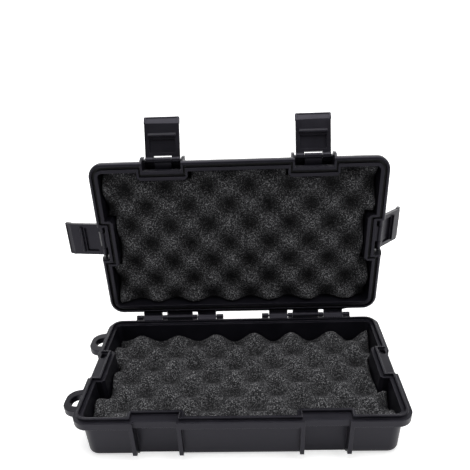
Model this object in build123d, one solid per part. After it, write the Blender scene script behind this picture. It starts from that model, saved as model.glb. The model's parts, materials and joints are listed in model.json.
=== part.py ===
from build123d import *
import math
import os

# Magnetic storage box: a moulded case in two halves with a sealed rim, four lever latches,
# two rear hinges, foam pads and magnets under the lower pad.
# X runs along the case, Y from front to back, Z up. The origin is the centre of the
# underside. All sizes are in millimetres. The lid stands open and the latches hang open.

# Case outline and heights.
case_length = 230.0
case_depth = 130.0
base_height = 35.2
lid_height = 22.0
parting_gap = 0.2
corner_radius = 11.0
flange_overhang = 4.8
flange_height = 5.4
wall = 2.4
floor_wall = 2.6
draft_angle = 1.5
outer_edge_radius = 4.5

# Sealed rim: two ridges and a groove in the lid, a tongue on the base.
ridge_width = 2.4
groove_width = 2.3
groove_depth = 3.2
tongue_height = 2.2
tongue_clearance = 0.3
seal_thickness = 0.9
seal_side_clearance = 0.15

# Latch bays, two in the front wall and one in each end wall.
front_bay_x = 57.8
bay_half_width = 14.8
bay_depth = 6.4
bay_wall_inset = 9.2
bay_corner_cut = 2.2
bay_side_share = 0.65
rib_width = 2.9
rib_foot_height = 4.0
rib_foot_bevel = 0.9
rib_foot_radius = 2.4
keeper_setback = 2.0
keeper_height = 5.6
pocket_length = 6.0
pocket_width = 3.8
pocket_depth = 3.0
pocket_setback = 3.2
pocket_from_bay_end = 0.4

# Latches and their pins.
latch_pin_height = 11.2
latch_pin_setback = 0.9
pin_radius = 1.0
pin_clearance = 0.05
pin_end_recess = 0.2
latch_width = 26.8
latch_reach = 32.5
latch_thickness = 3.2
latch_inner_offset = 0.6
latch_barrel_radius = 2.3
latch_window_half_width = 7.0
latch_window_reach = 3.3
latch_recess_start = 5.5
latch_recess_end = 15.5
latch_recess_half_width = 10.2
latch_recess_depth = 1.8
hook_clearance = 0.25
hook_crest = 1.8
hook_length = 2.2
hook_ramp = 1.6
hook_half_width = 10.7
lip_start = 27.0
lip_flare = 2.1
lip_outer_flare = 1.6
lip_half_width = 13.7
lip_edge_radius = 0.9
lip_pocket_margin = 1.8
lip_pocket_depth = 0.4
front_left_opening_angle = 113.0
front_right_opening_angle = 116.0
side_left_opening_angle = 97.0
side_right_opening_angle = 136.0

# Lid side of the latch bays.
ear_thickness = 2.2
ear_nose_radius = 2.8
lid_recess_height = 16.5
bay_roof_setback = 2.4
bay_roof_clearance = 0.7
knuckle_half_width = 6.6
knuckle_radius = 2.2
knuckle_web = 3.0

# Rear hinges.
hinge_centre_x = 55.0
hinge_setback = 5.0
hinge_radius = 2.2
hinge_half_length = 38.05
lid_middle_knuckle_end = 11.15
base_middle_knuckle_end = 15.45
lid_outer_knuckle_end = 31.95
hinge_axial_gap = 0.25
hinge_arm_height = 5.0
hinge_seat_gap = 0.1
hinge_web_height = 3.4
stop_nose_clearance = 0.15
stop_nose_drop_angle = 25.0
stop_nose_half_angle = 9.0
lid_open_angle = 91.0

# Lanyard lugs on the left end wall.
lug_thickness = 5.0
rear_lug_y = 33.2
rear_lug_length = 25.5
front_lug_y = -40.2
front_lug_length = 24.1
lug_reach = 9.6
lug_corner_radius = 8.8
lug_hole_length = 12.6
lug_hole_width = 6.2
lug_hole_corner_radius = 5.4
lug_hole_margin = 0.4

# Magnets and their backing strips, held by staked posts, all under the lower pad.
magnet_width = 20.0
magnet_thickness = 3.0
magnet_side_clearance = 0.15
magnet_floor = 1.2
magnet_gap = 3.0
magnet_from_post = 5.0
bed_wall = 2.0
strip_width = 16.0
strip_thickness = 1.2
strip_from_middle = 9.5
strip_from_end = 20.5
post_end_margin = 4.5
post_width = 3.0
post_clearance = 0.15
post_head_width = 4.6
post_head_height = 0.8

# Foam pads with a moulded pattern of peaks and hollows.
foam_clearance = 0.3
foam_pitch = 32.5
base_foam_peak = 28.2
base_foam_valley = 17.7
lid_foam_peak_depth = 2.0
lid_foam_valley_depth = 12.3
base_foam_shift = (-6.65, 0.5)
lid_foam_shift = (7.75, 5.25)
foam_recess_margin = 0.9

# Derived places.
half_length = case_length / 2
half_depth = case_depth / 2
rim_plane = base_height + parting_gap
lid_top = rim_plane + lid_height
rim_width = flange_overhang + wall
draft = math.tan(math.radians(draft_angle))
tongue_outer = ridge_width + tongue_clearance
tongue_inner = ridge_width + groove_width - tongue_clearance
latch_axis_z = rim_plane + latch_pin_height
hinge_y = half_depth + hinge_setback
hinge_z = base_height + parting_gap / 2
hook_start = latch_axis_z - base_height + keeper_height + hook_clearance
floor_inset = rim_width + (base_height - floor_wall) * draft
ceiling_inset = rim_width + (lid_height - wall) * draft
strip_z = magnet_floor + magnet_thickness
strip_top = strip_z + strip_thickness
strip_length = half_length - strip_from_end - strip_from_middle
magnet_pair_x = strip_from_middle + strip_length / 2
post_pitch = strip_length - 2 * post_end_margin
magnet_length = (post_pitch - post_width - magnet_gap) / 2 - magnet_from_post
magnet_pitch = magnet_length + magnet_gap
latch_cut_reach = 3 * latch_thickness

# Each bay: name, place on the rim's outer edge and turn that points local -Y outwards.
bays = {
    "front_left": (-front_bay_x, -half_depth, 0),
    "front_right": (front_bay_x, -half_depth, 0),
    "side_left": (-half_length, 0, -90),
    "side_right": (half_length, 0, 90),
}


def in_bay(name, shape):
    """Put a shape drawn in bay coordinates on its bay of the closed case."""
    x, y, turn = bays[name]
    return Pos(x, y, 0) * Rot(0, 0, turn) * shape


def opened(shape):
    """Turn a shape of the closed lid to the lid's open rest position."""
    axis = Axis((0, hinge_y, hinge_z), (1, 0, 0))
    return shape.rotate(axis, -lid_open_angle)


def block(x0, x1, y0, y1, z0, z1):
    """Box between two corners."""
    box = Box(x1 - x0, y1 - y0, z1 - z0, align=(Align.MIN, Align.MIN, Align.MIN))
    return Pos(x0, y0, z0) * box


def x_rod(radius, x0, x1, y=0.0, z=0.0):
    """Round rod along X."""
    rod = Cylinder(radius, x1 - x0, align=(Align.CENTER, Align.CENTER, Align.MIN))
    return Pos(x0, y, z) * Rot(0, 90, 0) * rod


def side_profile(points, radii, x0, x1):
    """Plate between two X places, from an outline of (Y, Z) points with corner radii."""
    outline = FilletPolyline(*[(0, y, z) for y, z in points], radius=radii, close=True)
    plate = extrude(make_face(outline), amount=x1 - x0, dir=(1, 0, 0))
    return Pos(x0, 0, 0) * plate


def rim_face(inset, z):
    """Case outline with its four bays, set in from the rim's outer edge.

    The bands are narrower along the bays' sides, and past the rim's width the bays' corners are cut.
    """
    x = half_length - inset
    y = half_depth - inset
    half = bay_half_width + bay_side_share * inset
    cut = bay_corner_cut
    notch = [(-half, 0), (-half, bay_depth), (half, bay_depth), (half, 0)]
    if inset >= rim_width:
        notch = [(-half, 0), (-half, bay_depth - cut), (-half + cut, bay_depth),
                 (half - cut, bay_depth), (half, bay_depth - cut), (half, 0)]
    front = [(centre + along, -y + deep) for centre in (-front_bay_x, front_bay_x) for along, deep in notch]
    right = [(x - deep, along) for along, deep in notch]
    left = [(-x + deep, -along) for along, deep in notch]
    points = [(-x, -y), *front, (x, -y), *right, (x, y), (-x, y), *left]
    corner = max(corner_radius - inset, 1.0)
    radii = [corner if (abs(px), abs(py)) == (x, y) else 0 for px, py in points]
    return make_face(FilletPolyline(*[(px, py, z) for px, py in points], radius=radii, close=True))


def rim_prism(inset, z0, z1):
    """Straight prism on the case outline."""
    return extrude(rim_face(inset, z0), amount=z1 - z0)


def rim_ring(outer_inset, inner_inset, z0, z1):
    """Band that follows the case outline."""
    return rim_prism(outer_inset, z0, z1) - rim_prism(inner_inset, z0, z1)


def cavity(z_rim, z_end, end_inset):
    """Drafted hollow from the rim to the floor or the ceiling."""
    return loft([rim_face(rim_width, z_rim), rim_face(end_inset, z_end)], ruled=True)


def shell_body(z_flange, z_end):
    """Drafted outer body from the flange to the case's flat face, with its edge rounded."""
    up = math.copysign(1, z_end - z_flange)
    radius = corner_radius - flange_overhang / 2
    outline = RectangleRounded(case_length - 2 * flange_overhang, case_depth - 2 * flange_overhang, radius)
    outline = Plane((0, 0, z_flange), x_dir=(1, 0, 0), z_dir=(0, 0, up)) * outline
    body = extrude(outline, amount=abs(z_end - z_flange), taper=draft_angle)
    flat_edges = body.edges().filter_by_position(Axis.Z, z_end - 0.01, z_end + 0.01)
    return fillet(flat_edges, outer_edge_radius)


def bay_recess(z0, z1):
    """Space that is cut out of the wall behind a latch."""
    outside = 2 * flange_overhang
    return block(-bay_half_width, bay_half_width, -outside, bay_wall_inset, z0, z1)


def base_shell():
    flange_z = base_height - flange_height
    body = shell_body(flange_z, 0.0) + rim_prism(0.0, flange_z, base_height)
    for name in bays:
        body -= in_bay(name, bay_recess(-1.0, base_height - keeper_height))
        body += in_bay(name, keeper())
    body -= cavity(base_height + 0.01, floor_wall, floor_inset)
    body += rim_ring(tongue_outer, tongue_inner, base_height, base_height + tongue_height)
    for name in bays:
        body += in_bay(name, base_rib(-1)) + in_bay(name, base_rib(1))
    for side in (-1, 1):
        body -= corner_pocket(side)
    for side in (-1, 1):
        body += base_hinge_knuckles(side * hinge_centre_x)
        body -= hinge_bore(side * hinge_centre_x)
    for y, length in ((rear_lug_y, rear_lug_length), (front_lug_y, front_lug_length)):
        body += lug(y, length)
        body -= lug_hole(y)
    return magnet_beds(body)


def keeper():
    """Ledge under which a latch hook catches."""
    z0 = base_height - keeper_height
    return block(-bay_half_width, bay_half_width, keeper_setback, bay_wall_inset, z0, base_height)


def base_rib(side):
    """Upright rib beside a bay, as proud as the flange, with its foot rounded and its corners cut."""
    foot = rib_foot_height
    top = base_height - flange_height / 2
    x0 = bay_half_width if side > 0 else -bay_half_width - rib_width
    x1 = x0 + rib_width
    seen_from_end = [(0, top), (0, foot), (bay_wall_inset, foot), (bay_wall_inset, top)]
    plate = side_profile(seen_from_end, [0, rib_foot_radius, 0, 0], x0, x1)
    cut = rib_foot_bevel
    seen_from_front = [
        (x0, top),
        (x0, foot + cut),
        (x0 + cut, foot),
        (x1 - cut, foot),
        (x1, foot + cut),
        (x1, top),
    ]
    outline = Polyline(*[(x, 0, z) for x, z in seen_from_front], close=True)
    return plate & extrude(make_face(outline), amount=bay_wall_inset, dir=(0, 1, 0))


def corner_pocket(side):
    """Small blind pocket in the rim's flat top, at the rear end of an end bay."""
    x_out = half_length - pocket_setback
    x0 = x_out - pocket_width if side > 0 else -x_out
    y1 = bay_half_width + bay_side_share * tongue_outer - pocket_from_bay_end
    z0 = base_height - pocket_depth
    return block(x0, x0 + pocket_width, y1 - pocket_length, y1, z0, base_height + 1.0)


def hinge_bore(x):
    return x_rod(pin_radius + pin_clearance, x - hinge_half_length - 1, x + hinge_half_length + 1,
                 hinge_y, hinge_z)


def base_hinge_knuckles(x):
    """Base knuckles of one hinge, on arms from the flange's rear face."""
    arm_top = base_height - hinge_seat_gap
    arm_foot = base_height - hinge_arm_height
    root = half_depth - ridge_width
    points = [
        (root, arm_top),
        (root, arm_foot),
        (half_depth, arm_foot),
        (hinge_y, hinge_z - hinge_radius),
        (hinge_y + 0.3, hinge_z),
        (hinge_y - 0.2, arm_top),
    ]
    spans = (
        (lid_middle_knuckle_end + hinge_axial_gap, base_middle_knuckle_end - hinge_axial_gap),
        (lid_outer_knuckle_end + hinge_axial_gap, hinge_half_length),
    )
    knuckles = []
    for near, far in spans:
        for x0, x1 in ((x + near, x + far), (x - far, x - near)):
            knuckles.append(side_profile(points, [0] * 6, x0, x1))
            knuckles.append(x_rod(hinge_radius, x0, x1, hinge_y, hinge_z))
    return knuckles


def lug(y, length):
    """Flat eye that stands out from the left flange."""
    root = -half_length + ridge_width
    tip = -half_length - lug_reach
    y0 = y - length / 2
    y1 = y + length / 2
    lean = lug_reach / 4
    z0 = base_height - lug_thickness
    points = [(root, y0, z0), (-half_length, y0, z0), (tip, y0 + lean, z0), (tip, y1 - lean, z0),
              (-half_length, y1, z0), (root, y1, z0)]
    radii = [0, 0.8, lug_corner_radius, lug_corner_radius, 0.8, 0]
    return extrude(make_face(FilletPolyline(*points, radius=radii, close=True)), amount=lug_thickness)


def lug_hole(y):
    """D-shaped hole through a lug, with its round side outwards."""
    x1 = -half_length + lug_hole_margin
    x0 = x1 - lug_hole_width
    y0 = y - lug_hole_length / 2
    y1 = y + lug_hole_length / 2
    z0 = base_height - 2 * lug_thickness
    points = [(x1, y0, z0), (x0, y0, z0), (x0, y1, z0), (x1, y1, z0)]
    radii = [0, lug_hole_corner_radius, lug_hole_corner_radius, 0]
    return extrude(make_face(FilletPolyline(*points, radius=radii, close=True)), amount=3 * lug_thickness)


def magnet_places():
    """Centres of the four magnets, left to right."""
    return [
        pair + side * magnet_pitch / 2
        for pair in (-magnet_pair_x, magnet_pair_x)
        for side in (-1, 1)
    ]


def post_places(pair):
    """Centres of the two posts that hold one backing strip."""
    return [pair - post_pitch / 2, pair + post_pitch / 2]


def floor_block(x, length, width, z0, z1):
    """Block on the case's long centre line."""
    return block(x - length / 2, x + length / 2, -width / 2, width / 2, z0, z1)


def magnet_beds(body):
    """Raised beds on the floor, with a pocket for each magnet and posts staked over the strips."""
    slack = 2 * magnet_side_clearance
    for pair in (-magnet_pair_x, magnet_pair_x):
        body += floor_block(pair, strip_length, magnet_width + slack + 2 * bed_wall, floor_wall, strip_z)
        for x in post_places(pair):
            body += floor_block(x, post_width, post_width, strip_z, strip_top)
            body += floor_block(x, post_head_width, post_head_width, strip_top, strip_top + post_head_height)
    for x in magnet_places():
        body -= floor_block(x, magnet_length + slack, magnet_width + slack, magnet_floor, strip_z)
    return body


def magnet(x):
    return floor_block(x, magnet_length, magnet_width, magnet_floor, strip_z)


def backing_strip(pair):
    """Steel strip across two magnets, with a square hole for each post."""
    hole = post_width + 2 * post_clearance
    strip = floor_block(pair, strip_length, strip_width, strip_z, strip_top)
    for x in post_places(pair):
        strip -= floor_block(x, hole, hole, strip_z, strip_top)
    return strip


def lid_shell():
    """Lid shell, drawn closed."""
    flange_z = rim_plane + flange_height
    body = shell_body(flange_z, lid_top) + rim_prism(0.0, rim_plane, flange_z)
    for name in bays:
        body -= in_bay(name, bay_recess(flange_z, rim_plane + lid_recess_height))
    body -= cavity(rim_plane - 0.01, lid_top - wall, ceiling_inset)
    for name in bays:
        for part in (latch_ear(-1), latch_ear(1), bay_roof(), latch_knuckle()):
            body += in_bay(name, part)
        bore = x_rod(pin_radius + pin_clearance, -2 * bay_half_width, 2 * bay_half_width,
                     latch_pin_setback, latch_axis_z)
        body -= in_bay(name, bore)
    groove_end = ridge_width + groove_width
    body -= rim_ring(ridge_width, groove_end, rim_plane - 1.0, rim_plane + groove_depth)
    for side in (-1, 1):
        body += lid_hinge_knuckles(side * hinge_centre_x)
        body -= hinge_bore(side * hinge_centre_x)
    return body


def latch_ear(side):
    """Ear that carries one end of a latch pin, rounded about the pin."""
    z_pin = latch_axis_z
    z_top = rim_plane + lid_recess_height
    nose = latch_pin_setback - ear_nose_radius
    points = [
        (bay_depth, rim_plane),
        (0, rim_plane),
        (nose, z_pin - ear_nose_radius),
        (nose, z_pin + ear_nose_radius),
        (flange_overhang, z_top),
        (bay_depth, z_top),
    ]
    radii = [0, 0, ear_nose_radius * 0.7, ear_nose_radius * 0.7, 0, 0]
    x0 = bay_half_width if side > 0 else -bay_half_width - ear_thickness
    return side_profile(points, radii, x0, x0 + ear_thickness)


def bay_roof():
    """Shelf between the ears, behind and above the latch's barrel."""
    z0 = latch_axis_z + latch_barrel_radius + bay_roof_clearance
    z1 = rim_plane + lid_recess_height
    return block(-bay_half_width, bay_half_width, bay_roof_setback, bay_depth, z0, z1)


def latch_knuckle():
    """Centre knuckle of a latch, on a web from the bay's wall."""
    barrel = x_rod(knuckle_radius, -knuckle_half_width, knuckle_half_width,
                   latch_pin_setback, latch_axis_z)
    web = block(-knuckle_half_width, knuckle_half_width, latch_pin_setback, bay_wall_inset + 1.0,
                latch_axis_z - knuckle_web / 2, latch_axis_z + knuckle_web / 2)
    return barrel + web


def lid_hinge_knuckles(x):
    """Lid knuckles of one hinge, on webs from the flange's rear face, with stop noses."""
    web_foot = rim_plane + hinge_seat_gap
    web_top = rim_plane + hinge_web_height
    root = half_depth - ridge_width
    points = [
        (root, web_foot),
        (hinge_y - 0.2, web_foot),
        (hinge_y + 0.3, hinge_z),
        (hinge_y, hinge_z + hinge_radius),
        (half_depth, web_top),
        (root, web_top),
    ]
    inner = base_middle_knuckle_end + hinge_axial_gap
    outer = lid_outer_knuckle_end - hinge_axial_gap
    spans = (
        (x - lid_middle_knuckle_end, x + lid_middle_knuckle_end),
        (x + inner, x + outer),
        (x - outer, x - inner),
    )
    knuckles = []
    for x0, x1 in spans:
        knuckles.append(side_profile(points, [0] * 6, x0, x1))
        knuckles.append(x_rod(hinge_radius, x0, x1, hinge_y, hinge_z))
    for x0, x1 in spans[1:]:
        knuckles.append(stop_nose(x0, x1))
    return knuckles


def stop_nose(x0, x1):
    """Nose that meets the base's rear face when the lid is open."""
    rest = 180 + stop_nose_drop_angle + lid_open_angle
    nearest = math.radians(stop_nose_drop_angle - stop_nose_half_angle)
    reach = (hinge_setback - stop_nose_clearance) / math.cos(nearest)
    points = [(hinge_y, hinge_z)]
    for turn in (-stop_nose_half_angle, stop_nose_half_angle):
        angle = math.radians(rest + turn)
        y = hinge_y + reach * math.cos(angle)
        z = hinge_z + reach * math.sin(angle)
        points.append((y, z))
    wide = math.radians(rest + 60)
    points.append((hinge_y + hinge_radius * math.cos(wide), hinge_z + hinge_radius * math.sin(wide)))
    wide = math.radians(rest - 60)
    points.insert(1, (hinge_y + hinge_radius * math.cos(wide), hinge_z + hinge_radius * math.sin(wide)))
    return side_profile(points, [0] * len(points), x0, x1)


def lid_seal():
    """Flat rubber seal on the bottom of the lid's groove, drawn closed."""
    outer = ridge_width + seal_side_clearance
    inner = ridge_width + groove_width - seal_side_clearance
    z1 = rim_plane + groove_depth
    return rim_ring(outer, inner, z1 - seal_thickness, z1)


def latch():
    """Latch lever, closed: its pin lies on the X axis and its tip points down."""
    inner = latch_inner_offset
    outer = inner - latch_thickness
    start = latch_barrel_radius * 0.8
    half = latch_width / 2
    plate = [(inner, -start), (inner, -lip_start), (outer, -lip_start), (outer, 0)]
    body = side_profile(plate + [(-latch_barrel_radius * 0.7, latch_barrel_radius * 0.7), (inner, 0)],
                        [0] * 6, -half, half)
    body += x_rod(latch_barrel_radius, -half, half)
    lip = [
        (inner, -lip_start),
        (inner - lip_flare, -latch_reach),
        (outer - lip_outer_flare, -latch_reach),
        (outer, -lip_start),
    ]
    lip_plate = side_profile(lip, [0] * 4, -lip_half_width, lip_half_width)
    corners = lip_plate.edges().filter_by_position(Axis.Z, -latch_reach - 0.01, -latch_reach + 0.01)
    body += fillet(corners.filter_by(Axis.Y), lip_edge_radius)
    reach = latch_cut_reach
    body -= block(-latch_window_half_width, latch_window_half_width, -reach, reach, -latch_window_reach, reach)
    body -= block(-latch_recess_half_width, latch_recess_half_width, inner - latch_recess_depth, reach,
                  -latch_recess_end, -latch_recess_start)
    body += hook()
    body -= lip_pocket()
    body -= x_rod(pin_radius + pin_clearance, -half - 1, half + 1)
    return body


def hook():
    """Ridge that catches under the keeper, with a ramp on its far side."""
    root = latch_inner_offset - latch_thickness / 2
    crest = latch_inner_offset + hook_crest
    points = [
        (root, -hook_start),
        (crest, -hook_start),
        (crest, -hook_start - hook_length / 2),
        (latch_inner_offset, -hook_start - hook_length / 2 - hook_ramp),
        (root, -hook_start - hook_length / 2 - hook_ramp),
    ]
    return side_profile(points, [0] * 5, -hook_half_width, hook_half_width)


def lip_pocket():
    """Shallow framed field in the lip's inner face."""
    length = latch_reach - lip_start
    slope = math.atan2(lip_flare, length)
    half = lip_half_width - lip_pocket_margin
    field = block(-half, half, -lip_pocket_depth, 4, -length / math.cos(slope) + lip_pocket_margin / 2,
                  -lip_pocket_margin / 2)
    return Pos(0, latch_inner_offset, -lip_start) * Rot(-math.degrees(slope), 0, 0) * field


def placed_latch(name, opening):
    """A latch swung open about its pin, on the open lid."""
    swung = Rot(-opening, 0, 0) * latch()
    return opened(in_bay(name, Pos(0, latch_pin_setback, latch_axis_z) * swung))


def latch_pin(name):
    length = bay_half_width + ear_thickness - pin_end_recess
    pin = x_rod(pin_radius, -length, length, latch_pin_setback, latch_axis_z)
    return opened(in_bay(name, pin))


def hinge_pin(x):
    length = hinge_half_length - pin_end_recess
    return x_rod(pin_radius, x - length, x + length, hinge_y, hinge_z)


def corrugated_slab(turn, shift, z_back, z_valley, z_peak):
    """Slab whose top is folded along one diagonal of the foam's pattern."""
    wave = foam_pitch / math.sqrt(2)
    reach = math.hypot(half_length, half_depth) + foam_pitch
    count = math.ceil(reach / wave)
    points = []
    for i in range(-count, count + 1):
        points += [(i * wave, z_peak), ((i + 0.5) * wave, z_valley)]
    points += [(points[-1][0], z_back), (points[0][0], z_back)]
    outline = Polyline(*[(x, 0, z) for x, z in points], close=True)
    slab = extrude(make_face(outline), amount=2 * reach, dir=(0, 1, 0))
    return Pos(*shift, 0) * Rot(0, 0, turn) * Pos(0, -reach, 0) * slab


def foam_pad(shift, z_back, z_valley, z_peak, back_inset, rim_inset, z_rim):
    """Pad with a flat back and a staggered pattern of peaks, inside the drafted cavity."""
    plan = loft([rim_face(rim_inset, z_rim), rim_face(back_inset, z_back)], ruled=True)
    for turn in (45, -45):
        plan &= corrugated_slab(turn, shift, z_back - (z_peak - z_back), z_valley, z_peak)
    return plan


def base_foam():
    z_back = floor_wall + foam_clearance
    pad = foam_pad(base_foam_shift, z_back, base_foam_valley, base_foam_peak,
                   floor_inset + foam_clearance, rim_width + foam_clearance, base_height)
    half_strip = strip_length / 2 + foam_recess_margin
    half_width = magnet_width / 2 + magnet_side_clearance + bed_wall + foam_recess_margin
    top = strip_top + post_head_height + foam_clearance
    for pair in (-magnet_pair_x, magnet_pair_x):
        pad -= block(pair - half_strip, pair + half_strip, -half_width, half_width, 0, top)
    return pad


def lid_foam():
    """Upper pad, drawn closed, with its back against the lid's ceiling."""
    z_back = lid_top - wall - foam_clearance
    z_valley = rim_plane + lid_foam_valley_depth
    z_peak = rim_plane + lid_foam_peak_depth
    return foam_pad(lid_foam_shift, z_back, z_valley, z_peak,
                    ceiling_inset + foam_clearance, rim_width + foam_clearance, rim_plane)


openings = {
    "front_latch_left": ("front_left", front_left_opening_angle),
    "front_latch_right": ("front_right", front_right_opening_angle),
    "side_latch_left": ("side_left", side_left_opening_angle),
    "side_latch_right": ("side_right", side_right_opening_angle),
}


def build_all():
    nodes = {
        "base_shell": base_shell(),
        "lid_shell": opened(lid_shell()),
        "lid_seal": opened(lid_seal()),
        "base_foam": base_foam(),
        "lid_foam": opened(lid_foam()),
        "hinge_pin_left": hinge_pin(-hinge_centre_x),
        "hinge_pin_right": hinge_pin(hinge_centre_x),
    }
    for node, (bay, opening) in openings.items():
        nodes[node] = placed_latch(bay, opening)
        nodes[node.replace("latch", "latch_pin")] = latch_pin(bay)
    for number, x in enumerate(magnet_places(), start=1):
        nodes[f"magnet_{number}"] = magnet(x)
    nodes["backing_strip_left"] = backing_strip(-magnet_pair_x)
    nodes["backing_strip_right"] = backing_strip(magnet_pair_x)
    return nodes


os.makedirs("parts", exist_ok=True)
for node, shape in build_all().items():
    solid = shape.solid()
    solid.label = node
    export_step(solid, f"parts/{node}.step")
    print(node, len(shape.solids()), round(solid.volume, 1), solid.is_valid)
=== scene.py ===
import json
import math

import bmesh
import bpy
from mathutils import Matrix, Vector, noise

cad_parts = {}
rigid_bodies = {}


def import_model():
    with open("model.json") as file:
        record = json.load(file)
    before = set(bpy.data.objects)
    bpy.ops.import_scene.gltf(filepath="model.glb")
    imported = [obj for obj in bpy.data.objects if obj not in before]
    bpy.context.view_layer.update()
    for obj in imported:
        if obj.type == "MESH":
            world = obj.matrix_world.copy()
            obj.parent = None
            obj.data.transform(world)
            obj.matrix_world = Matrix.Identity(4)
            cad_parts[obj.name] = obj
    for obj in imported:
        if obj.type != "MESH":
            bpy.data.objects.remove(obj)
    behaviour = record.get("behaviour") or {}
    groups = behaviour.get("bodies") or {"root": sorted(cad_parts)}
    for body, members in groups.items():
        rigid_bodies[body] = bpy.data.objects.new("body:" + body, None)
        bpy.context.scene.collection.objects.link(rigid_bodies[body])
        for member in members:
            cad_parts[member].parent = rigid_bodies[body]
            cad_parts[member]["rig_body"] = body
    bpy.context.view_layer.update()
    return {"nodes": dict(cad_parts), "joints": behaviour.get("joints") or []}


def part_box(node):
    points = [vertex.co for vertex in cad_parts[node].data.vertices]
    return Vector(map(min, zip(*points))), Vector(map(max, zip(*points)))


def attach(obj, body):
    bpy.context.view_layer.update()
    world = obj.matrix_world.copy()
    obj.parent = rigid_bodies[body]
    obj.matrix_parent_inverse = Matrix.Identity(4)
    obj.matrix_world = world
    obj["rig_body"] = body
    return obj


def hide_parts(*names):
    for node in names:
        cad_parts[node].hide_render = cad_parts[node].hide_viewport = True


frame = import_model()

# Viewpoint. The open case is seen from the front and from above, a little to the right of its
# middle, by a lens held slightly tilted, with the picture's middle above the line of sight.
mm = 0.001
picture_width_px = 470
focal_length_px = 526.85
principal_point_px = (236.65, 317.62)
sensor_width = 36.0
eye = Vector((11.23, -324.6, 276.79)) * mm
yaw = math.radians(-2.39)
pitch_down = math.radians(31.61)
roll = math.radians(-2.32)

sight = Vector((
    math.sin(yaw) * math.cos(pitch_down),
    math.cos(yaw) * math.cos(pitch_down),
    -math.sin(pitch_down),
))
level_right = Vector((math.cos(yaw), -math.sin(yaw), 0))
level_up = level_right.cross(sight)
right = math.cos(roll) * level_right + math.sin(roll) * level_up
up = math.cos(roll) * level_up - math.sin(roll) * level_right

camera_data = bpy.data.cameras.new("camera")
camera_data.sensor_fit = "HORIZONTAL"
camera_data.sensor_width = sensor_width
camera_data.lens = sensor_width * focal_length_px / picture_width_px
camera_data.shift_x = (picture_width_px / 2 - principal_point_px[0]) / picture_width_px
camera_data.shift_y = (principal_point_px[1] - picture_width_px / 2) / picture_width_px
camera_data.clip_start = 0.01
camera = bpy.data.objects.new("camera", camera_data)
camera.matrix_world = Matrix.Translation(eye) @ Matrix((right, up, -sight)).transposed().to_4x4()
bpy.context.scene.collection.objects.link(camera)
bpy.context.scene.camera = camera
bpy.context.scene.view_settings.view_transform = "Standard"


# Studio. A pale table, a white background for the camera, and three soft lamps at the right, the
# left and overhead. What the satin plastic mirrors isn't plain: the surround is brighter than white
# low behind the case and dim in front and above, and the table glows less in front of the case.
def shader_node(tree, kind, settings=None, **sockets):
    """Shader node with its settings, and its input sockets set or linked by name."""
    made = tree.nodes.new(kind)
    for name, value in (settings or {}).items():
        setattr(made, name, value)
    for name, value in sockets.items():
        socket = made.inputs[name.replace("_", " ")]
        if isinstance(value, bpy.types.NodeSocket):
            tree.links.new(value, socket)
        else:
            socket.default_value = value
    return made


def combined(tree, first, second, operation="ADD"):
    """Sum of two values or sockets, or what another operation makes of them."""
    made = tree.nodes.new("ShaderNodeMath")
    made.operation = operation
    for socket, value in zip(made.inputs, (first, second)):
        if isinstance(value, bpy.types.NodeSocket):
            tree.links.new(value, socket)
        else:
            socket.default_value = value
    return made.outputs["Value"]


def scaled(tree, value, low, high, to_low=0.0, to_high=1.0):
    """A value carried from one range to another, and held there."""
    made = shader_node(
        tree,
        "ShaderNodeMapRange",
        Value=value,
        From_Min=low,
        From_Max=high,
        To_Min=to_low,
        To_Max=to_high,
    )
    return made.outputs["Result"]


def seen_rays(tree):
    """One for camera, glossy and transmission rays, else nothing."""
    rays = tree.nodes.new("ShaderNodeLightPath").outputs
    seen = combined(tree, rays["Is Camera Ray"], rays["Is Glossy Ray"], "MAXIMUM")
    return combined(tree, seen, rays["Is Transmission Ray"], "MAXIMUM")


surround_light = 0.32
surround_top = 0.20
surround_front = 0.30
surround_back = 2.6
surround_front_y = -0.30
surround_back_y = 0.50
surround_low_z = 0.28
surround_high_z = 0.60
floor_gap = 0.2 * mm
floor_size = 6.0
floor_near = 0.25
floor_far = 1.0
floor_lift_near = 0.55
floor_lift_far = 1.0
floor_mirror = 0.40
floor_mirror_front = 0.08
floor_front_start = -0.11
floor_front_end = -0.24

world = bpy.data.worlds.new("surround")
world.use_nodes = True
tree = world.node_tree
tree.nodes.clear()
sky_place = tree.nodes.new("ShaderNodeTexCoord").outputs["Generated"]
sky_axes = shader_node(tree, "ShaderNodeSeparateXYZ", Vector=sky_place).outputs
back_level = scaled(
    tree,
    sky_axes["Y"],
    surround_front_y,
    surround_back_y,
    surround_front,
    surround_back,
)
seen_level = scaled(tree, sky_axes["Z"], surround_low_z, surround_high_z, back_level, surround_top)
camera_ray = tree.nodes.new("ShaderNodeLightPath").outputs["Is Camera Ray"]
shown_level = combined(tree, camera_ray, seen_level, "MAXIMUM")
surround = shader_node(
    tree,
    "ShaderNodeBackground",
    Color=(1, 1, 1, 1),
    Strength=scaled(tree, seen_rays(tree), 0.0, 1.0, surround_light, shown_level),
)
world_output = tree.nodes.new("ShaderNodeOutputWorld")
tree.links.new(surround.outputs["Background"], world_output.inputs["Surface"])
bpy.context.scene.world = world

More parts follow.
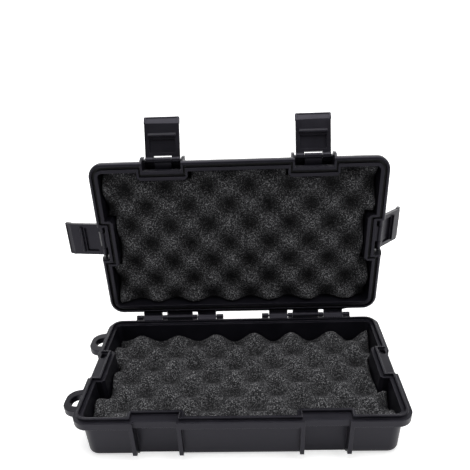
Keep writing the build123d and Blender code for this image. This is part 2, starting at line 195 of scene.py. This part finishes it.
table_material = bpy.data.materials.new("pale_table")
table_material.use_nodes = True
tree = table_material.node_tree
tree.nodes.clear()
paint = shader_node(tree, "ShaderNodeBsdfDiffuse", Color=(0.86, 0.86, 0.86, 1), Roughness=0.6)
floor_place = tree.nodes.new("ShaderNodeTexCoord").outputs["Object"]
floor_y = shader_node(tree, "ShaderNodeSeparateXYZ", Vector=floor_place).outputs["Y"]
mirrored = scaled(
    tree,
    floor_y,
    floor_front_end,
    floor_front_start,
    floor_mirror_front,
    floor_mirror,
)
distance = shader_node(tree, "ShaderNodeVectorMath", {"operation": "LENGTH"}, Vector=floor_place)
seen_directly = scaled(
    tree,
    distance.outputs["Value"],
    floor_near,
    floor_far,
    floor_lift_near,
    floor_lift_far,
)
camera_ray = tree.nodes.new("ShaderNodeLightPath").outputs["Is Camera Ray"]
lift = scaled(tree, camera_ray, 0.0, 1.0, mirrored, seen_directly)
glow = shader_node(
    tree,
    "ShaderNodeEmission",
    Strength=combined(tree, seen_rays(tree), lift, "MULTIPLY"),
)
both = tree.nodes.new("ShaderNodeAddShader")
tree.links.new(paint.outputs["BSDF"], both.inputs[0])
tree.links.new(glow.outputs["Emission"], both.inputs[1])
table_output = tree.nodes.new("ShaderNodeOutputMaterial")
tree.links.new(both.outputs["Shader"], table_output.inputs["Surface"])

table = bmesh.new()
bmesh.ops.create_grid(
    table,
    x_segments=1,
    y_segments=1,
    size=floor_size / 2,
    matrix=Matrix.Translation((0, 0, -floor_gap)),
)
table_mesh = bpy.data.meshes.new("table")
table.to_mesh(table_mesh)
table.free()
table_mesh.materials.append(table_material)
table_object = bpy.data.objects.new("table", table_mesh)
bpy.context.scene.collection.objects.link(table_object)

case_middle = Vector((0, 20, 60)) * mm
lamps = {
    "key_lamp": (Vector((0.95, -0.30, 1.00)), 0.80, 5.0),
    "fill_lamp": (Vector((-1.00, -0.55, 0.60)), 0.60, 1.5),
    "top_lamp": (Vector((-0.05, 0.15, 1.30)), 1.20, 17.0),
}
for name, (place, size, power) in lamps.items():
    lamp_data = bpy.data.lights.new(name, "AREA")
    lamp_data.shape = "SQUARE"
    lamp_data.size = size
    lamp_data.energy = power
    lamp = bpy.data.objects.new(name, lamp_data)
    lamp.location = place
    lamp.rotation_euler = (case_middle - place).to_track_quat("-Z", "Y").to_euler()
    bpy.context.scene.collection.objects.link(lamp)


# Base shell. A deep tray moulded in black satin plastic, with a raised tongue round its rim, four
# latch bays with ribs, two lanyard eyes and the base's hinge knuckles. Its edges are slightly round.
def shader_group(name, inputs, outputs):
    """Empty node group with number inputs and the named outputs."""
    group = bpy.data.node_groups.new(name, "ShaderNodeTree")
    for socket, value in inputs.items():
        made = group.interface.new_socket(name=socket, in_out="INPUT", socket_type="NodeSocketFloat")
        made.default_value = value
    for socket, kind in outputs.items():
        group.interface.new_socket(name=socket, in_out="OUTPUT", socket_type=kind)
    entry = group.nodes.new("NodeGroupInput")
    leaving = group.nodes.new("NodeGroupOutput")
    return group, entry.outputs, leaving.inputs


def blended(tree, factor, first, second):
    """Colour between two colours."""
    made = tree.nodes.new("ShaderNodeMix")
    made.data_type = "RGBA"
    for place, value in ((0, factor), (6, first), (7, second)):
        if isinstance(value, bpy.types.NodeSocket):
            tree.links.new(value, made.inputs[place])
        else:
            made.inputs[place].default_value = value
    return made.outputs[2]


mottle_density = 45.0
edge_turn_start = 0.99
edge_turn_full = 0.82
moulded, moulded_in, moulded_out = shader_group(
    "moulded_surface",
    {"Grain Density": 2200.0, "Edge Radius": 0.4 * mm},
    {
        "Mottle": "NodeSocketFloat",
        "Grain": "NodeSocketFloat",
        "Edge": "NodeSocketFloat",
        "Rounded Normal": "NodeSocketVector",
    },
)
place = moulded.nodes.new("ShaderNodeTexCoord").outputs["Object"]
grain = shader_node(
    moulded,
    "ShaderNodeTexNoise",
    Vector=place,
    Scale=moulded_in["Grain Density"],
    Detail=2.0,
)
mottle = shader_node(
    moulded,
    "ShaderNodeTexNoise",
    Vector=place,
    Scale=mottle_density,
    Detail=4.0,
    Roughness=0.6,
)
rounding = shader_node(moulded, "ShaderNodeBevel", {"samples": 4}, Radius=moulded_in["Edge Radius"])
flat_normal = moulded.nodes.new("ShaderNodeNewGeometry").outputs["Normal"]
turned = shader_node(moulded, "ShaderNodeVectorMath", {"operation": "DOT_PRODUCT"})
moulded.links.new(rounding.outputs["Normal"], turned.inputs[0])
moulded.links.new(flat_normal, turned.inputs[1])
moulded.links.new(mottle.outputs["Fac"], moulded_out["Mottle"])
moulded.links.new(grain.outputs["Fac"], moulded_out["Grain"])
edge_share = scaled(moulded, turned.outputs["Value"], edge_turn_start, edge_turn_full)
moulded.links.new(edge_share, moulded_out["Edge"])
moulded.links.new(rounding.outputs["Normal"], moulded_out["Rounded Normal"])


def new_material(name, colour, roughness, metallic=0.0, **sockets):
    """Material with one glossy or matt surface shader."""
    material = bpy.data.materials.new(name)
    material.diffuse_color = colour
    material.use_nodes = True
    tree = material.node_tree
    tree.nodes.clear()
    surface = shader_node(tree, "ShaderNodeBsdfPrincipled", Base_Color=colour, Roughness=roughness,
                          Metallic=metallic, **sockets)
    output = tree.nodes.new("ShaderNodeOutputMaterial")
    tree.links.new(surface.outputs["BSDF"], output.inputs["Surface"])
    return material, tree, surface.inputs


cloud_share = 0.35
wear_share = 0.8
edge_polish = 0.12
haze_drop = 0.05
haze_rise = 0.07


def moulded_plastic(name, colour, worn_colour, roughness, edge_radius, grain_depth):
    """Black satin plastic with a fine mould grain, faint cloudiness and polished edges."""
    material, tree, surface = new_material(name, colour, roughness, Specular_IOR_Level=0.3,
                                           Specular_Tint=(0.86, 0.83, 1.0, 1))
    skin = tree.nodes.new("ShaderNodeGroup")
    skin.node_tree = moulded
    skin.inputs["Edge Radius"].default_value = edge_radius
    cloud = scaled(tree, skin.outputs["Mottle"], 0.35, 0.65, 0.0, cloud_share)
    wear = combined(tree, skin.outputs["Edge"], wear_share, "MULTIPLY")
    tree.links.new(blended(tree, combined(tree, cloud, wear), colour, worn_colour), surface["Base Color"])
    haze = scaled(
        tree,
        skin.outputs["Mottle"],
        0.3,
        0.7,
        roughness - haze_drop,
        roughness + haze_rise,
    )
    polish = combined(tree, skin.outputs["Edge"], edge_polish, "MULTIPLY")
    tree.links.new(combined(tree, haze, polish, "SUBTRACT"), surface["Roughness"])
    bump = shader_node(tree, "ShaderNodeBump", Strength=0.35, Distance=grain_depth,
                       Height=skin.outputs["Grain"], Normal=skin.outputs["Rounded Normal"])
    tree.links.new(bump.outputs["Normal"], surface["Normal"])
    return material


case_plastic = moulded_plastic(
    "case_plastic",
    colour=(0.0036, 0.0034, 0.0052, 1),
    worn_colour=(0.0120, 0.0115, 0.0150, 1),
    roughness=0.36,
    edge_radius=0.7 * mm,
    grain_depth=0.05 * mm,
)

sharp_angle = math.radians(28)
flat_angle = math.radians(0.6)
weld_distance = 0.005 * mm
least_edge = 0.001 * mm


def moulded_skin(node):
    """Mesh of the frame's piece with its facets joined into flat and round faces."""
    skin = bmesh.new()
    skin.from_mesh(frame["nodes"][node].data)
    bmesh.ops.remove_doubles(skin, verts=skin.verts, dist=weld_distance)
    bmesh.ops.dissolve_degenerate(skin, edges=skin.edges, dist=least_edge)
    bmesh.ops.dissolve_limit(skin, angle_limit=flat_angle, verts=skin.verts, edges=skin.edges)
    return skin


def moulded_piece(skin, node, material):
    """Finished piece made of a skin, in place of the frame's piece."""
    for face in skin.faces:
        face.smooth = True
    for edge in skin.edges:
        edge.smooth = edge.calc_face_angle(0) < sharp_angle
    mesh = bpy.data.meshes.new(node + "_moulded")
    skin.to_mesh(mesh)
    skin.free()
    mesh.materials.append(material)
    piece = bpy.data.objects.new(node + "_moulded", mesh)
    bpy.context.scene.collection.objects.link(piece)
    flat_faces = piece.modifiers.new("flat_faces", "WEIGHTED_NORMAL")
    flat_faces.keep_sharp = True
    flat_faces.weight = 100
    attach(piece, frame["nodes"][node]["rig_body"])
    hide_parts(node)


moulded_piece(moulded_skin("base_shell"), "base_shell", case_plastic)


# Magnets and their strips. Four nickel-plated blocks lie in beds in the base's floor, and two
# zinc-plated steel strips lie over them, held by posts of the base. All are under the lower pad.
brush_stretch = 0.04
brush_depth = 0.02 * mm
brush_roughening = 0.18
stain_density = 180.0
stain_dulling = 0.72


def plated_metal(name, colour, roughness, brush_density):
    """Plated metal with fine drawing lines along its length and slight stains."""
    material, tree, surface = new_material(name, colour, roughness, 1.0)
    place = tree.nodes.new("ShaderNodeTexCoord").outputs["Object"]
    stretch = shader_node(tree, "ShaderNodeMapping", Vector=place, Scale=(brush_stretch, 1, 1))
    lines = shader_node(
        tree,
        "ShaderNodeTexNoise",
        Vector=stretch.outputs["Vector"],
        Scale=brush_density,
        Detail=3.0,
    )
    stains = shader_node(tree, "ShaderNodeTexNoise", Vector=place, Scale=stain_density, Detail=4.0)
    dull = tuple(channel * stain_dulling for channel in colour[:3]) + (1,)
    stain_amount = scaled(tree, stains.outputs["Fac"], 0.45, 0.75)
    tree.links.new(blended(tree, stain_amount, colour, dull), surface["Base Color"])
    rubbed = scaled(tree, lines.outputs["Fac"], 0.3, 0.7, roughness, roughness + brush_roughening)
    tree.links.new(rubbed, surface["Roughness"])
    bump = shader_node(
        tree,
        "ShaderNodeBump",
        Strength=0.2,
        Distance=brush_depth,
        Height=lines.outputs["Fac"],
    )
    tree.links.new(bump.outputs["Normal"], surface["Normal"])
    return material


def finished_nodes(material, names):
    """Give pieces of the frame, whose shape is right, their material."""
    for name in names:
        mesh = frame["nodes"][name].data
        mesh.materials.clear()
        mesh.materials.append(material)


nickel = plated_metal("nickel_plating", (0.66, 0.64, 0.60, 1), 0.16, 2500)
zinc = plated_metal("zinc_plating", (0.58, 0.59, 0.61, 1), 0.34, 1800)
finished_nodes(nickel, ["magnet_1", "magnet_2", "magnet_3", "magnet_4"])
finished_nodes(zinc, ["backing_strip_left", "backing_strip_right"])


# Lower pad. Charcoal open-cell foam, profile-cut into staggered rounded peaks and hollows, with a
# plan that follows the tray's bays. It lies loose in the tray.
tear_density = 1100.0
tear_depth = 0.6 * mm
strand_start = 0.36
strand_full = 0.64
strand_lightening = 5.0
cell_edge = 0.55
cell_middle = 0.20
# Painted highlights: pale dots on a few foam cells, standing in for light caught by their walls; the
# density and rarity of each set.
painted_glint_cells = ((1250.0, 0.15), (850.0, 0.55))


def open_cell_foam(name, colour, hollow_shade_colour, painted_glint_colour):
    """Charcoal foam of ragged cells under a millimetre wide, with painted highlights on a few cells and
    painted shade in the pad's hollows.
    """
    material, tree, surface = new_material(name, colour, 0.92, Specular_IOR_Level=0.12)
    place = tree.nodes.new("ShaderNodeTexCoord").outputs["Object"]
    # Painted shade: the pad's 'hollow' share darkens the foam deep in its hollows, where little light
    # reaches.
    depth = shader_node(tree, "ShaderNodeAttribute", {"attribute_name": "hollow"}).outputs["Fac"]
    tear = shader_node(
        tree,
        "ShaderNodeTexNoise",
        Vector=place,
        Scale=tear_density,
        Detail=2.0,
        Roughness=0.9,
    )
    strands = scaled(tree, tear.outputs["Fac"], strand_start, strand_full)
    pale = tuple(channel * strand_lightening for channel in colour[:3]) + (1,)
    shaded = blended(tree, strands, colour, pale)
    # Painted highlights: a few cells are painted pale in place of light glinting on their walls.
    for density, rarity in painted_glint_cells:
        cells = shader_node(tree, "ShaderNodeTexVoronoi", Vector=place, Scale=density)
        near = scaled(tree, cells.outputs["Distance"], cell_edge, cell_middle)
        chance = shader_node(tree, "ShaderNodeSeparateColor", Color=cells.outputs["Color"])
        glint_mask = scaled(tree, chance.outputs["Red"], rarity, 1.0)
        shaded = blended(tree, combined(tree, near, glint_mask, "MULTIPLY"), shaded, painted_glint_colour)
    # Painted shade: the foam's colour turns to a plain dark colour as the hollow share rises, hiding the
    # strands and pale cells.
    tree.links.new(blended(tree, depth, shaded, hollow_shade_colour), surface["Base Color"])
    bump = shader_node(
        tree,
        "ShaderNodeBump",
        Strength=1.0,
        Distance=tear_depth,
        Height=tear.outputs["Fac"],
    )
    tree.links.new(bump.outputs["Normal"], surface["Normal"])
    return material


foam_material = open_cell_foam(
    "charcoal_foam",
    colour=(0.0062, 0.0062, 0.0067, 1),
    # Painted shade: the plain dark colour of the pad's hollows.
    hollow_shade_colour=(0.006, 0.006, 0.0064, 1),
    # Painted highlights: the pale colour of the glinting cells.
    painted_glint_colour=(0.26, 0.26, 0.27, 1),
)

peak_pitch = 32.5 * mm
foam_cell = 0.85 * mm
foam_corner = 3.5 * mm
foam_edge_round = 2.2 * mm
foam_wall_gap = 0.6 * mm
foam_side_steps = 5
cut_snap = 0.02 * mm
wander_seed = 1
wander_density = 28
wander_reach = 1.5 * mm
wander_height = 0.5
pattern_lowering = 0.5 * mm
edge_drop = 0.8
drift_start = 0.35
drift_growth = 0.9
# Painted shade in the foam's hollows: the height share below which it starts, and how it grows.
hollow_shade_start = 0.75
hollow_shade_power = 1.2
torn_coarse_density = 520
torn_fine_density = 1100
torn_fine_share = 0.6
torn_reach = 0.22 * mm
flat_back_margin = 0.5 * mm
bay_centre = abs(next(j["pos_m"][0] for j in frame["joints"] if j["name"] == "front_right_latch_hinge"))
bay_reach = 6.4 * mm
bay_half = 20.8 * mm

# Without a seed this noise starts from the clock, and each run would make other pads.
noise.seed_set(wander_seed)


def pad_plan(half_x, half_y):
    """Flat grid of the pad's plan, with a notch for each bay and rounded corners."""
    plan = bmesh.new()
    bmesh.ops.create_grid(
        plan,
        x_segments=round(2 * half_x / foam_cell),
        y_segments=round(2 * half_y / foam_cell),
        size=1.0,
        matrix=Matrix.Diagonal((half_x, half_y, 1, 1)),
    )
    cuts = [("x", -bay_centre - bay_half), ("x", -bay_centre + bay_half), ("x", bay_centre - bay_half),
            ("x", bay_centre + bay_half), ("y", -half_y + bay_reach), ("y", -bay_half), ("y", bay_half),
            ("x", -half_x + bay_reach), ("x", half_x - bay_reach)]
    for axis, at in cuts:
        across = Vector((1, 0, 0)) if axis == "x" else Vector((0, 1, 0))
        bmesh.ops.bisect_plane(
            plan,
            geom=plan.verts[:] + plan.edges[:] + plan.faces[:],
            dist=cut_snap,
            plane_co=across * at,
            plane_no=across,
        )
    gone = [face for face in plan.faces if bay_distance(*face.calc_center_median().xy, half_x, half_y) <= 0]
    bmesh.ops.delete(plan, geom=gone, context="FACES")
    for vert in plan.verts:
        beyond = Vector((abs(vert.co.x) - half_x + foam_corner, abs(vert.co.y) - half_y + foam_corner))
        if min(beyond) > 0 and beyond.length > foam_corner:
            beyond *= foam_corner / beyond.length
            vert.co.x = math.copysign(half_x - foam_corner + beyond.x, vert.co.x)
            vert.co.y = math.copysign(half_y - foam_corner + beyond.y, vert.co.y)
    return plan


def bay_distance(x, y, half_x, half_y):
    """Distance from a place in the plan to the nearest bay notch."""
    front = y + half_y - bay_reach
    nearest = math.hypot(max(abs(abs(x) - bay_centre) - bay_half, 0), max(front, 0))
    end = half_x - bay_reach - abs(x)
    return min(nearest, math.hypot(max(abs(y) - bay_half, 0), max(end, 0)))


def peak_share(x, y, shift):
    """Height of the pattern, from 0 in a hollow to 1 on a peak."""
    wave = peak_pitch / math.sqrt(2)
    along = (x - shift[0] + y - shift[1]) / math.sqrt(2)
    across = (x - shift[0] - y + shift[1]) / math.sqrt(2)
    turn = 2 * math.pi / wave
    return 0.5 + (math.cos(turn * along) + math.cos(turn * across)) / 4


def foam_pad(half_x, half_y, shift, rear_drift, peak, hollow, back, shade, noise_place):
    """Closed pad with a patterned face, ragged sides and a flat back, and a share of painted shade that
    darkens its hollows.
    """
    pad = pad_plan(half_x, half_y)
    outward = math.copysign(1, peak - hollow)
    drift = Vector((noise_place, 2 * noise_place, 3 * noise_place))
    for vert in pad.verts:
        x, y = vert.co.xy
        wander = noise.noise_vector(Vector((x, y, 0)) * wander_density + drift) * wander_reach
        drawn = rear_drift * max(y / half_y + drift_start, 0) * (1 + drift_growth * x / half_x)
        share = peak_share(x + wander.x, y + wander.y - drawn, shift)
        rise = wander.z * wander_height - pattern_lowering
        vert.co.z = hollow + (peak - hollow) * share + outward * rise
        margin = min(half_x - abs(x), half_y - abs(y), bay_distance(x, y, half_x, half_y))
        if margin < foam_edge_round:
            t = 1 - max(margin, 0) / foam_edge_round
            vert.co.z -= outward * foam_edge_round * (1 - math.sqrt(1 - t * t)) * edge_drop
    rim = [edge for edge in pad.edges if edge.is_boundary]
    for step in range(foam_side_steps):
        walls = bmesh.ops.extrude_edge_only(pad, edges=rim)["geom"]
        share = 1 / (foam_side_steps - step)
        for vert in walls:
            if isinstance(vert, bmesh.types.BMVert):
                vert.co.z += (back - vert.co.z) * share
        rim = [edge for edge in walls if isinstance(edge, bmesh.types.BMEdge) and edge.is_boundary]
    bmesh.ops.holes_fill(pad, edges=rim, sides=0)
    bmesh.ops.recalc_face_normals(pad, faces=pad.faces)
    pad.normal_update()
    # Painted shade: each point gets a share that rises from part way down a slope to the bottom of a
    # hollow, scaled by shade; it only darkens the colour.
    hollow_shade_layer = pad.verts.layers.float.new("hollow")
    for vert in pad.verts:
        share = (vert.co.z - hollow) / (peak - hollow)
        vert[hollow_shade_layer] = min(shade * max(hollow_shade_start - share, 0), 1) ** hollow_shade_power
        if abs(vert.co.z - back) > flat_back_margin:
            coarse = noise.noise(vert.co * torn_coarse_density + drift)
            fine = noise.noise(vert.co * torn_fine_density + drift)
            vert.co += vert.normal * (coarse + torn_fine_share * fine) * torn_reach
    return pad


def finished_pad(pad, name, body, node):
    """Foam piece in place of the frame's plain pad."""
    mesh = bpy.data.meshes.new(name)
    pad.to_mesh(mesh)
    pad.free()
    mesh.shade_smooth()
    mesh.materials.append(foam_material)
    piece = bpy.data.objects.new(name, mesh)
    bpy.context.scene.collection.objects.link(piece)
    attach(piece, body)
    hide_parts(node)


low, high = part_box("base_foam")
lower_pad = foam_pad(
    half_x=high[0] - foam_wall_gap,
    half_y=high[1] - foam_wall_gap,
    shift=(-6.65 * mm, 0.5 * mm),
    rear_drift=2.2 * mm,
    peak=28.2 * mm,
    hollow=17.7 * mm,
    back=low[2],
    shade=0.9,
    noise_place=3.0,
)
finished_pad(lower_pad, "lower_pad", "base", "base_foam")


# Lid shell. The shallower half, moulded in the same plastic, with two ridges and a groove round its
# rim, ears and a middle knuckle at each bay for the latch pins, and its own hinge knuckles. Its outer
# ridge is rounded, and a fin under each hinge's middle knuckle closes the slit beside the base.
lid_hinge = next(j for j in frame["joints"] if j["name"] == "lid_hinge")
hinge_place = Vector(lid_hinge["pos_m"])
lid_turn = Matrix.Rotation(-math.radians(lid_hinge["range_deg"][1]), 4, "X")
lid_opened = Matrix.Translation(hinge_place) @ lid_turn @ Matrix.Translation(-hinge_place)
rim_height = 35.4 * mm
flange_half = Vector((115.0, 65.0)) * mm
flange_corner = 11.0 * mm
ridge_round = 2.0 * mm
ridge_tolerance = 0.06 * mm
fin_centre_x = 55.0 * mm
fin_length = 22.3 * mm
fin_reach = 2.95 * mm
fin_root = 1.5 * mm
fin_thickness = 1.2 * mm
fin_tilt = math.radians(31.8)


def on_outer_edge(place):
    """Whether a place of the closed lid is on the outer edge of its rim, at the front or an end."""
    beyond = Vector((
        abs(place.x) - flange_half.x + flange_corner,
        abs(place.y) - flange_half.y + flange_corner,
    ))
    distance = max(beyond) if min(beyond) < 0 else beyond.length
    at_edge = abs(distance - flange_corner) < ridge_tolerance
    at_rear = beyond.x < 0 and place.y > 0
    return at_edge and not at_rear and abs(place.z - rim_height) < ridge_tolerance


lid_skin = moulded_skin("lid_shell")
bmesh.ops.transform(lid_skin, matrix=lid_opened.inverted(), verts=lid_skin.verts)
bmesh.ops.bevel(
    lid_skin,
    geom=[edge for edge in lid_skin.edges if all(on_outer_edge(vert.co) for vert in edge.verts)],
    affect="EDGES",
    offset=ridge_round,
    segments=4,
    profile=0.5,
    material=-1,
)
bmesh.ops.transform(lid_skin, matrix=lid_opened, verts=lid_skin.verts)
for side in (-1, 1):
    fin_middle = hinge_place + Vector((side * fin_centre_x, 0, 0))
    bmesh.ops.create_cube(
        lid_skin,
        size=1.0,
        matrix=(Matrix.Translation(fin_middle) @ Matrix.Rotation(-fin_tilt, 4, "X")
                @ Matrix.Translation((0, 0, -(fin_root + fin_reach) / 2))
                @ Matrix.Diagonal((fin_length, fin_thickness, fin_reach - fin_root, 1))),
    )
moulded_piece(lid_skin, "lid_shell", case_plastic)


# Rim seal. A flat ring of black rubber, laid on the bottom of the lid's groove.
rubber_black = (0.012, 0.012, 0.013, 1)
rubber_dust = (0.030, 0.030, 0.031, 1)
rubber, tree, surface = new_material("seal_rubber", rubber_black, 0.68, Specular_IOR_Level=0.3)
place = tree.nodes.new("ShaderNodeTexCoord").outputs["Object"]
dust = shader_node(tree, "ShaderNodeTexNoise", Vector=place, Scale=320.0, Detail=5.0)
dusty = scaled(tree, dust.outputs["Fac"], 0.5, 0.75, 0.0, 0.6)
tree.links.new(blended(tree, dusty, rubber_black, rubber_dust), surface["Base Color"])
bump = shader_node(tree, "ShaderNodeBump", Strength=0.3, Distance=0.05 * mm, Height=dust.outputs["Fac"])
tree.links.new(bump.outputs["Normal"], surface["Normal"])
finished_nodes(rubber, ["lid_seal"])


# Upper pad. The same foam as the lower pad, held in the lid by its fit, with its peaks just below
# the rim. It is shaped as if the lid were closed, then turned open about the hinge with the lid.
pad_back_height = 54.7 * mm
low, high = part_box("lid_foam")
upper_pad = foam_pad(
    half_x=high[0] - foam_wall_gap,
    half_y=57.0 * mm,
    shift=(7.75 * mm, 5.25 * mm),
    rear_drift=0.0,
    peak=rim_height + 2.0 * mm,
    hollow=rim_height + 12.3 * mm,
    back=pad_back_height,
    shade=1.1,
    noise_place=11.0,
)
bmesh.ops.transform(upper_pad, matrix=lid_opened, verts=upper_pad.verts)
finished_pad(upper_pad, "upper_pad", "lid", "lid_foam")


# Pins. Blackened spring wire, pressed through the knuckles of each hinge and each latch.
pin_wire = plated_metal("pin_wire", (0.14, 0.14, 0.15, 1), 0.30, 3000)
latch_names = ["front_latch_left", "front_latch_right", "side_latch_left", "side_latch_right"]
finished_nodes(pin_wire, ["hinge_pin_left", "hinge_pin_right"])
finished_nodes(pin_wire, [name.replace("latch", "latch_pin") for name in latch_names])


# Latches. Four levers in the case's plastic, each with a barrel about its pin, a ridge that hooks
# under the base's keeper and a flared finger lip.
latch_plastic = moulded_plastic(
    "latch_plastic",
    colour=(0.0036, 0.0034, 0.0050, 1),
    worn_colour=(0.0110, 0.0105, 0.0140, 1),
    roughness=0.34,
    edge_radius=0.35 * mm,
    grain_depth=0.04 * mm,
)
for name in latch_names:
    moulded_piece(moulded_skin(name), name, latch_plastic)
